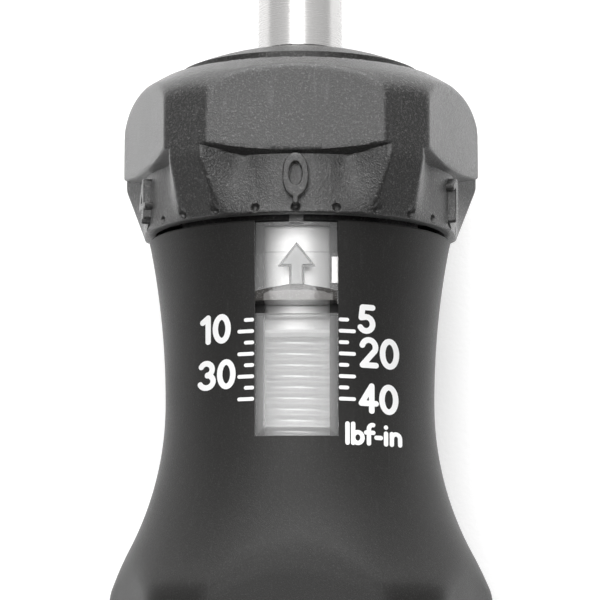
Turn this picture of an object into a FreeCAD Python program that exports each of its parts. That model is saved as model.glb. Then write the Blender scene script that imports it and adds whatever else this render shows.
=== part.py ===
import FreeCAD, Part
import math
import os

# Adjustable torque screwdriver with a micrometer dial, in millimetres.
#
# Every piece is drawn standing up: the axis is Z, zero is the lower edge of the dial ring, up is
# towards the bit, and the front, with the scale window, faces -Y. At the end the whole tool is
# laid on its back along Y, where it rests on the rear ridge of the grip with the window up.

V = FreeCAD.Vector
AXIS = V(0, 0, 1)
CENTRE = V(0, 0, 0)

# ---- clearances --------------------------------------------------------------------------
run_fit = 0.05            # radial clearance of a turning or sliding fit
side_gap = 0.10           # clearance beside a guided plate or key
free_gap = 0.30           # air between pieces that only pass each other
seat_gap = 0.02           # air left where a screwed or pressed piece seats
overrun = 1.0             # how far a cutter runs past the face that it opens
same = 1e-6               # lengths that differ by less than this are equal

# ---- setting thread ----------------------------------------------------------------------
thread_pitch = 1.27       # one turn of the dial moves the sleeve this far
turns_below_rest = 1      # turns from the shown setting down to the lowest one
turns_above_rest = 6      # turns from the shown setting up to the highest one
dial_marks = 25           # marks and lock notches in one turn
lobes = 5                 # lobes of the grip and of the dial ring

# ---- spindle -----------------------------------------------------------------------------
shaft_radius = 5.0        # the shank that stands out of the nose cap
journal_radius = 4.5      # the spindle inside the tool
bit_reach = 58.3          # length of shaft that stands out of the nose cap
hex_flats = 6.35          # across flats of the bit socket
socket_depth = 16.0
socket_lead = 0.8         # chamfer at the mouth of the socket
shank_edge = 0.4
magnet_radius = 2.9
magnet_length = 4.0
magnet_recess = 0.2       # the magnet's face below the floor of the socket
clip_from_mouth = 4.0     # from the mouth of the socket to the bit clip
clip_width = 0.7
clip_radius = 3.95
clip_thickness = 0.6
clip_opening = 60         # degrees left open in the bit clip
flange_radius = 11.0
flange_thickness = 3.5
tail_radius = 4.0
tail_margin = 0.5         # how far the tail ends inside the end plug

# ---- dial ring ---------------------------------------------------------------------------
ring_main_flat = 19.1     # axis to a main face of the ring
ring_ridge_flat = 21.4    # axis to a ridge face of the ring
ring_envelope = 21.6      # turned radius before the faces are cut
ring_edge_round = 0.7
ring_crown_radius = 35.0  # crown shared by the ring and the nose cap
ring_crown_top = 22.5     # height of the crown on the axis
ring_crown_round = 5.5    # rounding from the crown into the faces
ring_ledge_height = 7.0   # lower edge of a main face at its middle
ring_ledge_slope = 0.6    # rise of the undercut for each millimetre of radius
ring_skirt_radius = 18.3  # the dial skirt that carries the marks
ring_skirt_edge = 0.3
fin_knee = 6.6            # height where a fin reaches the full ridge face
fin_foot_flat = 18.5      # axis to the ridge face at the lower edge
fin_half_angle_top = 6.0
fin_half_angle_foot = 9.0
fin_root_half_angle = 17.0
fin_overlap = 0.5         # how far a fin runs up into the ring above the undercut
mark_radius = 0.45
mark_depth = 0.25
mark_height = 0.6

# ---- lock under the dial ring ------------------------------------------------------------
lock_groove_inner = 13.9
lock_groove_outer = 17.1
lock_groove_depth = 2.4
notch_width = 1.8
notch_depth = 2.2
lock_travel = 2.6

# ---- nose cap ----------------------------------------------------------------------------
cap_rim_radius = 14.4
cap_rim_thickness = 2.0
cap_skirt_depth = 2.4
cap_hole_gap = 0.15

# ---- body tube and clutch housing --------------------------------------------------------
tube_radius = 10.0        # crest of the setting thread
tube_bore = 7.9
tube_top = 18.0
tube_length = 64.0        # from the top down to the shoulder of the housing
housing_radius = 14.0
housing_bore = 11.5
housing_length = 26.0
housing_roof = 1.5
tube_edge = 0.5           # chamfer at the top of the tube
bush_length = 6.0

# ---- adjusting sleeve --------------------------------------------------------------------
sleeve_radius = 12.0
sleeve_length = 26.1
sleeve_index = -13.1      # lower edge, which reads the setting, at rest
sleeve_edge = 0.4
sleeve_key_width = 3.0
sleeve_key_height = 1.05
sleeve_key_length = 5.0
pin_above_index = 3.1     # from the reading edge up to the pins
pin_end_gap = 0.2         # from a pin's end to the floor of its groove in the sleeve

# ---- spring seat and main spring ---------------------------------------------------------
pin_radius = 1.25
pin_reach = 11.2          # axis to the outer end of a pin
seat_height = 4.8
spring_wire = 1.9         # square wire
spring_coil_radius = 6.45
spring_turns = 8
spring_length = 37.6      # from the spring seat to the pressure plate, at rest

# ---- clutch ------------------------------------------------------------------------------
plate_thickness = 4.9
plate_radius = 11.2
plate_key_height = 1.3
plate_key_width = 3.0
ball_count = 6
ball_radius = 1.8
ball_circle = 8.2
ball_in_plate = 1.7       # how deep a ball sits in the pressure plate
ball_in_flange = 0.8      # how deep a ball sits at the foot of its ramp in the spindle flange
slip_angle = 30.0         # turn of the spindle in which a ball climbs out of its ramp
ramp_gap = 0.05           # clearance under a ball in its ramp
ramp_half_width = 1.9

# ---- thrust bearing and end plug ---------------------------------------------------------
race_thickness = 0.8
race_radius = 10.8
needle_count = 16
needle_radius = 1.0
needle_length = 3.2
bearing_circle = 7.4
cage_thickness = 1.0
cage_rim = 0.7            # cage left inside and outside the needles
plug_thickness = 7.0
plug_spanner_circle = 7.5
plug_spanner_radius = 1.1
snap_ring_thickness = 1.0
snap_ring_width = 2.4
snap_ring_grip = 0.9      # how far the snap ring stands in its groove
snap_ring_opening = 50    # degrees left open in the snap ring

# ---- handle ------------------------------------------------------------------------------
ring_gap = 0.6            # between the dial ring and the handle
handle_top_radius = 17.75
handle_top_edge = 0.3
waist_radius = 15.75
waist_height = -20.0
flare_radius = 36.5
shoulder_radius = 4.5
grip_radius = 23.3        # turned radius before the faces are cut
grip_main_flat = 20.6     # axis to a main face of the grip
grip_ridge_flat = 23.07   # axis to a ridge face of the grip
grip_edge_round = 1.6
grip_bottom = -109.0
butt_round = 5.0
sleeve_bore_depth = 21.4  # depth of the wide bore, from the top of the handle
nut_thickness = 4.0
nut_bore = 10.5
nut_slot_width = 2.4
nut_slot_depth = 1.6
nut_slots = 4
key_pin_radius = 1.25
key_pin_length = 16.0
key_pin_drop = 4.0        # from the housing shoulder down to the key pins
key_pin_angle = 60        # degrees from the front to each key pin

# ---- window, lens and lock slider --------------------------------------------------------
slot_half_width = 4.7
slot_length = 24.2        # from the top of the handle
rail_half_width = 5.4
rail_floor = 12.9         # axis to the floor of the rail groove
rail_roof = 13.9
window_half_width = 3.7
lens_gap = 1.1            # opening between the slider and the lens
lens_face = 15.3          # axis to the flat face of the lens
lens_bevel = 0.9
slider_length = 9.0
slider_radius = 16.4
slider_flange_drop = 3.0  # from the top of the slider down to its guide flanges
lip_radius = 17.5
lip_arch_radius = 6.5
lip_height = 1.8
tooth_half_width = 0.8
tooth_inner = 14.5
tooth_outer = 16.2
tooth_height = 2.6
tooth_root = 1.0          # how far the tooth starts below the top of the slider
leaf_thickness = 0.25
leaf_half_width = 0.6
leaf_aside = 4.55         # from the middle of the slot to the leaf spring
leaf_length = 3.0
leaf_bow = 0.25           # room for the leaf to spring under the slider
leaf_drop = 0.5           # from the top of the slider's flange down to the leaf

# ---- end cap -----------------------------------------------------------------------------
end_cap_radius = 16.4
end_cap_thickness = 3.0
end_cap_edge = 0.6
end_cap_skirt = 9.0
end_cap_wall = 1.6

# ---- places worked out from the sizes above ----------------------------------------------
handle_top = -ring_gap
slider_top = handle_top - side_gap
lens_top = slider_top - slider_length - lens_gap
lobe_step = 360.0 / lobes
half_step = lobe_step / 2
mark_step = 360.0 / dial_marks
crown_centre = ring_crown_top - ring_crown_radius
housing_top = tube_top - tube_length
housing_end = housing_top - housing_length
pin_height = sleeve_index + pin_above_index
seat_end = pin_height - seat_height / 2
plate_top = seat_end - spring_length
plate_end = plate_top - plate_thickness
ball_centre = plate_end + ball_in_plate - ball_radius
flange_top = ball_centre - ball_radius + ball_in_flange
flange_end = flange_top - flange_thickness
upper_race_end = flange_end - run_fit - race_thickness
bearing_centre = upper_race_end - seat_gap - needle_radius
lower_race_top = bearing_centre - needle_radius - seat_gap
lower_race_end = lower_race_top - race_thickness
plug_top = lower_race_end - seat_gap
plug_end = plug_top - plug_thickness


def crown_height(radius):
    """Height of the crowned nose at a radius."""
    return crown_centre + math.sqrt(ring_crown_radius ** 2 - radius ** 2)


nose_height = crown_height(shaft_radius)
spindle_tip = nose_height + bit_reach


# ---- drawing helpers ---------------------------------------------------------------------
def turned(start, *path):
    """Solid of revolution. The outline starts at (radius, height); a step of two numbers is a
    straight line to that point, and one of four is an arc through a point to an end point."""
    edges = []
    here = V(start[0], 0, start[1])
    for step in path + (start,):
        end = V(step[-2], 0, step[-1])
        if len(step) == 4:
            edges.append(Part.Arc(here, V(step[0], 0, step[1]), end).toShape())
        else:
            edges.append(Part.makeLine(here, end))
        here = end
    return Part.Face(Part.Wire(edges)).revolve(CENTRE, AXIS, 360)


def disc(radius, bottom, top):
    return Part.makeCylinder(radius, top - bottom, V(0, 0, bottom))


def tube(inner, outer, bottom, top):
    return disc(outer, bottom, top).cut(disc(inner, bottom - overrun, top + overrun))


def block(half_width, near, far, bottom, top):
    """Box centred on the front line, from one distance in front of the axis to another."""
    size = (2 * half_width, far - near, top - bottom)
    return Part.makeBox(*size, V(-half_width, -far, bottom))


def around(shape, angle):
    """Copy turned about the axis, from the front towards the right."""
    copy = shape.copy()
    copy.rotate(CENTRE, AXIS, angle)
    return copy


def pattern(shape, count, first=0.0):
    """Copies of a shape spread evenly about the axis."""
    return [around(shape, first + 360.0 * k / count) for k in range(count)]


def ball(radius, circle, height):
    return Part.makeSphere(radius, V(0, -circle, height))


def point_on_arc(centre, radius, angle):
    """Point (radius, height) on a profile arc, by its angle in degrees."""
    turn = math.radians(angle)
    return (centre[0] + radius * math.cos(turn), centre[1] + radius * math.sin(turn))


def pentagon(flat, turn, bottom, top):
    """Five-sided prism, by the distance from the axis to a face and the turn of its first face."""
    radius = flat / math.cos(math.radians(half_step))
    angles = [math.radians(turn + half_step + k * lobe_step) for k in range(lobes + 1)]
    corners = [V(radius * math.sin(a), -radius * math.cos(a), bottom) for a in angles]
    return Part.Face(Part.makePolygon(corners)).extrude(V(0, 0, top - bottom))


def lobed_prism(main_flat, ridge_flat, edge_round, bottom, top):
    """Five broad faces and five narrow ridge faces, with rounded edges between them. The
    first broad face looks to the front."""
    prism = pentagon(main_flat, 0, bottom, top).common(pentagon(ridge_flat, half_step, bottom, top))
    upright = [e for e in prism.Edges if abs(e.BoundBox.ZLength - (top - bottom)) < same]
    return prism.makeFillet(edge_round, upright)


def open_ring(inner, outer, bottom, top, opening):
    """Ring with a gap at the front, as a snap ring or clip has."""
    reach = 2 * outer
    half = math.radians(opening / 2)
    corners = [
        V(0, 0, bottom - overrun),
        V(-reach * math.sin(half), -reach * math.cos(half), bottom - overrun),
        V(reach * math.sin(half), -reach * math.cos(half), bottom - overrun),
        V(0, 0, bottom - overrun),
    ]
    wedge = Part.Face(Part.makePolygon(corners)).extrude(V(0, 0, top - bottom + 2 * overrun))
    return tube(inner, outer, bottom, top).cut(wedge)


# ---- dial ring and nose ------------------------------------------------------------------
def fin():
    """One tapered fin below a ridge face, where the dial skirt swells out to the ridge."""
    root = math.radians(fin_root_half_angle)
    foot = (ring_skirt_radius * math.sin(root), ring_skirt_radius * math.cos(root))

    def section(height, flat, half_angle):
        edge = flat * math.tan(math.radians(half_angle))
        inner = foot[1] - (ring_skirt_radius - lock_groove_outer) / 2
        side = [(edge, flat), foot, (foot[0], inner)]
        points = side + [(-x, y) for x, y in reversed(side)]
        wire = [V(x, -y, height) for x, y in points]
        return Part.makePolygon(wire + wire[:1])

    low = section(0, fin_foot_flat, fin_half_angle_foot)
    knee = section(fin_knee, ring_ridge_flat, fin_half_angle_top)
    taper = Part.makeLoft([low, knee], True, True)
    ledge_rise = ring_ledge_slope * (ring_envelope - ring_main_flat)
    ledge_end = ring_ledge_height + ledge_rise
    upper = Part.Face(knee).extrude(V(0, 0, ledge_end + fin_overlap - fin_knee))
    return taper.fuse(upper)


def skirt_surface(angle):
    """Radius of the dial skirt, or of a fin's face, at the height of the marks."""
    from_ridge = abs((angle + lobe_step) % lobe_step - half_step)
    if from_ridge > fin_half_angle_foot:
        return ring_skirt_radius
    rise = (ring_ridge_flat - fin_foot_flat) * mark_height / fin_knee
    return (fin_foot_flat + rise) / math.cos(math.radians(from_ridge))


def mark(angle):
    """Round dimple at the lower edge of the skirt."""
    radius = (mark_radius ** 2 + mark_depth ** 2) / (2 * mark_depth)
    out = skirt_surface(angle) + radius - mark_depth
    return around(ball(radius, out, mark_height), angle)


def make_dial_ring():
    round_centre = ring_envelope - ring_crown_round
    inner_radius = ring_crown_radius - ring_crown_round
    round_height = crown_centre + math.sqrt(inner_radius ** 2 - round_centre ** 2)
    reach = ring_crown_radius / inner_radius
    meet = (round_centre * reach, crown_centre + (round_height - crown_centre) * reach)
    slope = math.degrees(math.atan2(round_height - crown_centre, round_centre))
    rim = cap_rim_radius + run_fit
    crown_angle = math.degrees(math.acos((rim + meet[0]) / 2 / ring_crown_radius))
    shoulder = crown_height(cap_rim_radius) - cap_rim_thickness
    ledge_rise = ring_ledge_slope * (ring_envelope - ring_main_flat)
    ledge_root = ring_ledge_slope * (ring_skirt_radius - ring_main_flat)
    bore = sleeve_radius + run_fit
    upper = turned(
        (bore, ring_ledge_height + ledge_root),
        (ring_skirt_radius, ring_ledge_height + ledge_root),
        (ring_envelope, ring_ledge_height + ledge_rise),
        (ring_envelope, round_height),
        point_on_arc((round_centre, round_height), ring_crown_round, slope / 2) + meet,
        point_on_arc((0, crown_centre), ring_crown_radius, crown_angle) + (rim, crown_height(rim)),
        (rim, shoulder),
        (bore, shoulder),
    )
    faces = lobed_prism(ring_main_flat, ring_ridge_flat, ring_edge_round, 0, ring_crown_top)
    skirt = turned(
        (bore, 0),
        (ring_skirt_radius - ring_skirt_edge, 0),
        (ring_skirt_radius, ring_skirt_edge),
        (ring_skirt_radius, ring_ledge_height + ledge_root + overrun),
        (bore, ring_ledge_height + ledge_root + overrun),
    )
    fins = pattern(fin(), lobes, half_step)
    ring = upper.common(faces).fuse([skirt] + fins).removeSplitter()
    notch_top = lock_groove_depth + notch_depth
    notch = block(notch_width / 2, tooth_inner - free_gap, lock_groove_outer, 0, notch_top)
    key_top = sleeve_index + sleeve_length + turns_below_rest * thread_pitch + free_gap
    key_depth = sleeve_radius + sleeve_key_height + side_gap
    keyway = block(sleeve_key_width / 2 + side_gap, 0, key_depth, -overrun, key_top)
    cuts = [tube(lock_groove_inner, lock_groove_outer, -overrun, lock_groove_depth)]
    cuts += pattern(notch, dial_marks)
    cuts += pattern(keyway, 2, 90)
    cuts += [mark(k * mark_step) for k in range(dial_marks)]
    return ring.cut(cuts)


def make_nose_cap():
    rim_height = crown_height(cap_rim_radius)
    shoulder = rim_height - cap_rim_thickness
    hole = shaft_radius + cap_hole_gap
    skirt = sleeve_radius
    middle = math.degrees(math.acos((hole + cap_rim_radius) / 2 / ring_crown_radius))
    return turned(
        (hole, tube_top + seat_gap),
        (tube_radius + run_fit, tube_top + seat_gap),
        (tube_radius + run_fit, shoulder - cap_skirt_depth),
        (skirt, shoulder - cap_skirt_depth),
        (skirt, shoulder + seat_gap),
        (cap_rim_radius, shoulder + seat_gap),
        (cap_rim_radius, rim_height),
        point_on_arc((0, crown_centre), ring_crown_radius, middle) + (hole, crown_height(hole)),
    )


def make_ring_washer():
    inner = sleeve_radius + free_gap + side_gap
    return tube(inner, lock_groove_inner, handle_top + seat_gap, -seat_gap)


# ---- spindle and what it carries ---------------------------------------------------------
def ramps():
    """Cutters for the ramps in the spindle flange. When the clutch slips, each ball rolls along
    the straight floor of its ramp and climbs out of the flange."""
    chord = 2 * ball_circle * math.sin(math.radians(slip_angle / 2))
    climb = math.degrees(math.atan(ball_in_flange / chord))
    room = ball_radius + ramp_gap
    size = (room + chord + ball_radius, 2 * ramp_half_width, 3 * room)
    cutter = Part.makeBox(*size, V(-room, -ramp_half_width, -room))
    cutter.rotate(CENTRE, V(0, 1, 0), -climb)
    cutter.rotate(CENTRE, AXIS, slip_angle / 2)
    cutter.translate(V(0, -ball_circle, ball_centre))
    return pattern(cutter, ball_count)


def make_spindle():
    shank_end = nose_height + free_gap
    shaft = turned(
        (0, plug_end + tail_margin),
        (tail_radius, plug_end + tail_margin),
        (tail_radius, flange_end),
        (flange_radius, flange_end),
        (flange_radius, flange_top),
        (journal_radius, flange_top),
        (journal_radius, shank_end),
        (shaft_radius, shank_end),
        (shaft_radius, spindle_tip - shank_edge),
        (shaft_radius - shank_edge, spindle_tip),
        (0, spindle_tip),
    )
    corner = hex_flats / 2 / math.cos(math.radians(30))
    bottom = spindle_tip - socket_depth
    corners = [V(corner * math.cos(k * math.pi / 3), corner * math.sin(k * math.pi / 3), bottom)
               for k in range(7)]
    socket = Part.Face(Part.makePolygon(corners)).extrude(V(0, 0, socket_depth + overrun))
    lead_foot = V(0, 0, spindle_tip - socket_lead)
    lead = Part.makeCone(corner - socket_lead, corner + seat_gap, socket_lead, lead_foot)
    pocket_floor = bottom - magnet_length - seat_gap
    pocket = disc(magnet_radius + seat_gap, pocket_floor, bottom + overrun)
    clip_height = spindle_tip - clip_from_mouth
    groove = disc(clip_radius + run_fit, clip_height - run_fit, clip_height + clip_width + run_fit)
    return shaft.cut([socket, lead, pocket, groove] + ramps())


def make_bit_magnet():
    bottom = spindle_tip - socket_depth - magnet_length
    return disc(magnet_radius, bottom, bottom + magnet_length - magnet_recess)


def make_bit_clip():
    bottom = spindle_tip - clip_from_mouth
    inner = clip_radius - clip_thickness
    return open_ring(inner, clip_radius, bottom, bottom + clip_width, clip_opening)


# ---- body tube with the clutch housing ---------------------------------------------------
def key_pin(radius):
    top = housing_top - key_pin_drop
    pin = Part.makeCylinder(radius, key_pin_length, V(0, -housing_radius, top - key_pin_length))
    return [around(pin, key_pin_angle), around(pin, -key_pin_angle)]


def make_body_tube():
    low = turned(
        (tube_bore, tube_top),
        (tube_bore, housing_top - housing_roof),
        (housing_bore, housing_top - housing_roof),
        (housing_bore, housing_end),
        (housing_radius, housing_end),
        (housing_radius, housing_top),
        (tube_radius, housing_top),
        (tube_radius, tube_top - tube_edge),
        (tube_radius - tube_edge, tube_top),
    )
    highest = pin_height + turns_below_rest * thread_pitch
    lowest = pin_height - turns_above_rest * thread_pitch
    half = pin_radius + side_gap
    near = tube_bore - overrun
    far = tube_radius + overrun
    slot = block(half, near, far, lowest, highest)
    ends = [Part.makeCylinder(half, far - near, V(0, -near, z), V(0, -1, 0))
            for z in (lowest, highest)]
    slots = pattern(slot.fuse(ends), 2, 90)
    key_half = plate_key_width / 2 + side_gap
    key_reach = plate_radius + plate_key_height + side_gap
    keyway = block(key_half, 0, key_reach, housing_end - overrun, housing_top - housing_roof)
    groove_top = plug_end - seat_gap
    groove_end = groove_top - snap_ring_thickness - seat_gap
    groove = disc(housing_bore + snap_ring_grip, groove_end, groove_top)
    return low.cut(slots + pattern(keyway, 2, 90) + [groove] + key_pin(key_pin_radius + seat_gap))


def make_front_bush():
    return tube(journal_radius + run_fit, tube_bore, tube_top - bush_length, tube_top)


def make_end_plug():
    plug = tube(tail_radius + run_fit, housing_bore - seat_gap, plug_end, plug_top)
    place = V(0, -plug_spanner_circle, plug_end)
    hole = Part.makeCylinder(plug_spanner_radius, plug_thickness / 2, place)
    return plug.cut(pattern(hole, 2, 90))


def make_snap_ring():
    outer = housing_bore + snap_ring_grip - run_fit
    top = plug_end - seat_gap - seat_gap
    bottom = top - snap_ring_thickness + seat_gap
    return open_ring(outer - snap_ring_width, outer, bottom, top, snap_ring_opening)


# ---- adjusting sleeve, spring seat and spring --------------------------------------------
def make_adjusting_sleeve():
    top = sleeve_index + sleeve_length
    shell = turned(
        (tube_radius + run_fit, sleeve_index),
        (sleeve_radius - sleeve_edge, sleeve_index),
        (sleeve_radius, sleeve_index + sleeve_edge),
        (sleeve_radius, top),
        (tube_radius + run_fit, top),
    )
    reach = sleeve_radius + sleeve_key_height
    root = sleeve_radius - overrun
    key = block(sleeve_key_width / 2, root, reach, top - sleeve_key_length, top)
    half = pin_radius + side_gap
    groove = disc(pin_reach + pin_end_gap, pin_height - half, pin_height + half)
    return shell.fuse(pattern(key, 2, 90)).cut(groove)


def seat_pins(inner):
    """The two pins, from an inner radius out to where they drive the spring seat."""
    place = V(0, -inner, pin_height)
    pin = Part.makeCylinder(pin_radius, pin_reach - inner, place, V(0, -1, 0))
    return pattern(pin, 2, 90)


def make_spring_seat():
    seat = tube(journal_radius + free_gap, tube_bore - side_gap, seat_end, seat_end + seat_height)
    return seat.cut(seat_pins(0))


def make_seat_pins():
    return Part.makeCompound(seat_pins(journal_radius + 2 * free_gap))


def make_main_spring():
    """Square-wire coil between the pressure plate and the spring seat."""
    half = spring_wire / 2
    bottom = plate_top + seat_gap + half
    top = seat_end - seat_gap - half
    path = Part.makeHelix((top - bottom) / spring_turns, top - bottom, spring_coil_radius)
    path.translate(V(0, 0, bottom))
    corners = [V(spring_coil_radius + x, 0, bottom + z)
               for x, z in ((-half, -half), (half, -half), (half, half), (-half, half), (-half, -half))]
    coil = Part.Wire(path).makePipeShell([Part.makePolygon(corners)], True, True)
    return Part.Solid(coil) if coil.ShapeType == "Shell" else coil


# ---- clutch ------------------------------------------------------------------------------
def make_clutch_plate():
    plate = tube(journal_radius + free_gap, plate_radius, plate_end, plate_top)
    reach = plate_radius + plate_key_height
    key = block(plate_key_width / 2, plate_radius - overrun, reach, plate_end, plate_top)
    seats = pattern(ball(ball_radius, ball_circle, ball_centre), ball_count)
    return plate.fuse(pattern(key, 2, 90)).cut(seats)


def make_clutch_balls():
    return Part.makeCompound(pattern(ball(ball_radius, ball_circle, ball_centre), ball_count))


# ---- thrust bearing ----------------------------------------------------------------------
def make_upper_race():
    return tube(tail_radius + run_fit, race_radius, upper_race_end, upper_race_end + race_thickness)


def make_lower_race():
    return tube(tail_radius + free_gap, race_radius, lower_race_end, lower_race_top)


def needle():
    """One needle of the bearing, lying along a radius."""
    place = V(0, needle_length / 2 - bearing_circle, bearing_centre)
    return Part.makeCylinder(needle_radius, needle_length, place, V(0, -1, 0))


def make_bearing_cage():
    half = cage_thickness / 2
    reach = needle_length / 2 + cage_rim
    bottom = bearing_centre - half
    top = bearing_centre + half
    cage = tube(bearing_circle - reach, bearing_circle + reach, bottom, top)
    near = bearing_circle - needle_length / 2 - run_fit
    far = bearing_circle + needle_length / 2 + run_fit
    pocket = block(needle_radius + run_fit, near, far, bottom - overrun, top + overrun)
    return cage.cut(pattern(pocket, needle_count))


def make_bearing_needles():
    return Part.makeCompound(pattern(needle(), needle_count))


# ---- handle ------------------------------------------------------------------------------
def grip_form():
    """Turned neck that swells into the grip, cut by the five broad faces and five ridges."""
    rise = handle_top - waist_height
    swell = handle_top_radius - waist_radius
    neck_radius = (rise ** 2 + swell ** 2) / (2 * swell)
    neck_centre = (waist_radius + neck_radius, waist_height)
    neck_half = math.degrees(math.asin(rise / neck_radius)) / 2
    flare_centre = (waist_radius + flare_radius, waist_height)
    shoulder_centre_radius = grip_radius - shoulder_radius
    spread = flare_centre[0] - shoulder_centre_radius
    reach = flare_radius + shoulder_radius
    drop = math.sqrt(reach ** 2 - spread ** 2)
    share = flare_radius / reach
    flare_end = (flare_centre[0] - spread * share, waist_height - drop * share)
    turn = math.degrees(math.atan2(drop, spread))
    shoulder_centre = (shoulder_centre_radius, waist_height - drop)
    butt_centre = (grip_radius - butt_round, grip_bottom + butt_round)
    body = turned(
        (0, handle_top),
        (handle_top_radius - handle_top_edge, handle_top),
        (handle_top_radius, handle_top - handle_top_edge),
        point_on_arc(neck_centre, neck_radius, 180 - neck_half) + (waist_radius, waist_height),
        point_on_arc(flare_centre, flare_radius, 180 + turn / 2) + flare_end,
        point_on_arc(shoulder_centre, shoulder_radius, (180 - turn) / 2 - 90 + turn)
        + (grip_radius, shoulder_centre[1]),
        (grip_radius, butt_centre[1]),
        point_on_arc(butt_centre, butt_round, -45) + (butt_centre[0], grip_bottom),
        (0, grip_bottom),
    )
    faces = lobed_prism(grip_main_flat, grip_ridge_flat, grip_edge_round, grip_bottom, handle_top)
    return body.common(faces)


def slot_cuts():
    """Slot for the lens and the slider, the rail groove beside it and the window through it."""
    bottom = handle_top - slot_length
    top = handle_top + overrun
    slot = block(slot_half_width, rail_floor, grip_radius, bottom, top)
    rail = block(rail_half_width, rail_floor, rail_roof, bottom, top)
    window = block(window_half_width, 0, rail_roof, bottom + free_gap, top)
    return [slot, rail, window]


def make_handle_shell():
    bore = sleeve_radius + free_gap
    bore_end = handle_top - sleeve_bore_depth
    cuts = [
        disc(bore, bore_end, handle_top + overrun),
        disc(tube_radius + run_fit, housing_top, handle_top),
        disc(housing_radius + run_fit, grip_bottom, housing_top),
        disc(end_cap_radius + run_fit, grip_bottom - overrun, grip_bottom + end_cap_thickness),
    ]
    return grip_form().cut(cuts + slot_cuts() + key_pin(key_pin_radius + seat_gap))


def make_key_pins():
    return Part.makeCompound(key_pin(key_pin_radius))


def make_body_nut():
    top = housing_end - seat_gap
    nut = tube(nut_bore, housing_radius, top - nut_thickness, top)
    bottom = top - nut_thickness
    slot = block(nut_slot_width / 2, 0, housing_radius + overrun, bottom, bottom + nut_slot_depth)
    return nut.cut(pattern(slot, nut_slots, 180.0 / nut_slots))


def make_end_cap():
    head_top = grip_bottom + end_cap_thickness - seat_gap
    skirt = housing_radius
    return turned(
        (0, grip_bottom),
        (end_cap_radius - end_cap_edge, grip_bottom),
        (end_cap_radius, grip_bottom + end_cap_edge),
        (end_cap_radius, head_top),
        (skirt, head_top),
        (skirt, head_top + end_cap_skirt),
        (skirt - end_cap_wall, head_top + end_cap_skirt),
        (skirt - end_cap_wall, head_top),
        (0, head_top),
    )


# ---- lens and lock slider ----------------------------------------------------------------
def make_window_lens():
    bottom = handle_top - slot_length + side_gap
    plate = block(slot_half_width - side_gap, rail_floor + seat_gap, lens_face, bottom, lens_top)
    front = [e for e in plate.Edges
             if abs(e.BoundBox.YMin + lens_face) < same and abs(e.BoundBox.YMax + lens_face) < same]
    plate = plate.makeChamfer(lens_bevel, front)
    flange_half = rail_half_width - side_gap
    flange = block(flange_half, rail_floor + seat_gap, rail_roof - side_gap, bottom, lens_top)
    return plate.fuse(flange).removeSplitter()


def make_lock_slider():
    half = slot_half_width - side_gap
    inner = rail_floor + side_gap
    bottom = slider_top - slider_length
    blank = block(half, inner, lip_radius, bottom, slider_top)
    plate = blank.common(disc(slider_radius, bottom, slider_top))
    arch_centre = bottom + lip_height - lip_arch_radius
    arch = Part.makeCylinder(lip_arch_radius, lip_radius, V(0, 0, arch_centre), V(0, -1, 0))
    lip = blank.common(disc(lip_radius, bottom, slider_top)).common(arch)
    flange_top = slider_top - slider_flange_drop
    flange = block(rail_half_width - side_gap, inner, rail_roof - side_gap, bottom, flange_top)
    tooth_foot = slider_top - tooth_root
    tooth = block(tooth_half_width, tooth_inner, tooth_outer, tooth_foot, slider_top + tooth_height)
    relief = disc(lock_groove_inner + free_gap, flange_top, slider_top + overrun)
    leaf_top, leaf_bottom = leaf_span()
    roof = rail_floor + leaf_thickness + leaf_bow
    pocket_end = leaf_bottom - lock_travel - free_gap
    pocket = block(leaf_half_width + free_gap, 0, roof, pocket_end, leaf_top + free_gap)
    pocket.translate(V(leaf_aside, 0, 0))
    return plate.fuse([lip, flange]).cut([relief, pocket]).fuse(tooth).removeSplitter()


def leaf_span():
    """Top and bottom of the leaf spring that lies under the slider's right flange."""
    top = slider_top - slider_flange_drop - leaf_drop
    return top, top - leaf_length


def make_lock_spring():
    top, bottom = leaf_span()
    leaf = block(leaf_half_width, rail_floor, rail_floor + leaf_thickness, bottom, top)
    leaf.translate(V(leaf_aside, 0, 0))
    return leaf


# ---- the whole tool ----------------------------------------------------------------------
PIECES = {
    "handle_shell": make_handle_shell,
    "end_cap": make_end_cap,
    "body_tube": make_body_tube,
    "key_pins": make_key_pins,
    "body_nut": make_body_nut,
    "nose_cap": make_nose_cap,
    "front_bush": make_front_bush,
    "window_lens": make_window_lens,
    "lock_slider": make_lock_slider,
    "lock_spring": make_lock_spring,
    "dial_ring": make_dial_ring,
    "ring_washer": make_ring_washer,
    "adjusting_sleeve": make_adjusting_sleeve,
    "spring_seat": make_spring_seat,
    "seat_pins": make_seat_pins,
    "main_spring": make_main_spring,
    "clutch_plate": make_clutch_plate,
    "clutch_balls": make_clutch_balls,
    "spindle": make_spindle,
    "bit_magnet": make_bit_magnet,
    "bit_clip": make_bit_clip,
    "upper_race": make_upper_race,
    "bearing_cage": make_bearing_cage,
    "bearing_needles": make_bearing_needles,
    "lower_race": make_lower_race,
    "end_plug": make_end_plug,
    "snap_ring": make_snap_ring,
}


def laid_down(shape):
    """Lay the standing tool on its back, window up, with its middle over the origin."""
    shape.rotate(CENTRE, V(1, 0, 0), -90)
    shape.translate(V(0, -(spindle_tip + grip_bottom) / 2, grip_ridge_flat))
    return shape


os.makedirs("parts", exist_ok=True)
for name, make in PIECES.items():
    laid_down(make()).exportStep("parts/" + name + ".step")
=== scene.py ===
import math

import bpy
import numpy as np
from mathutils import Matrix, Vector


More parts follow.
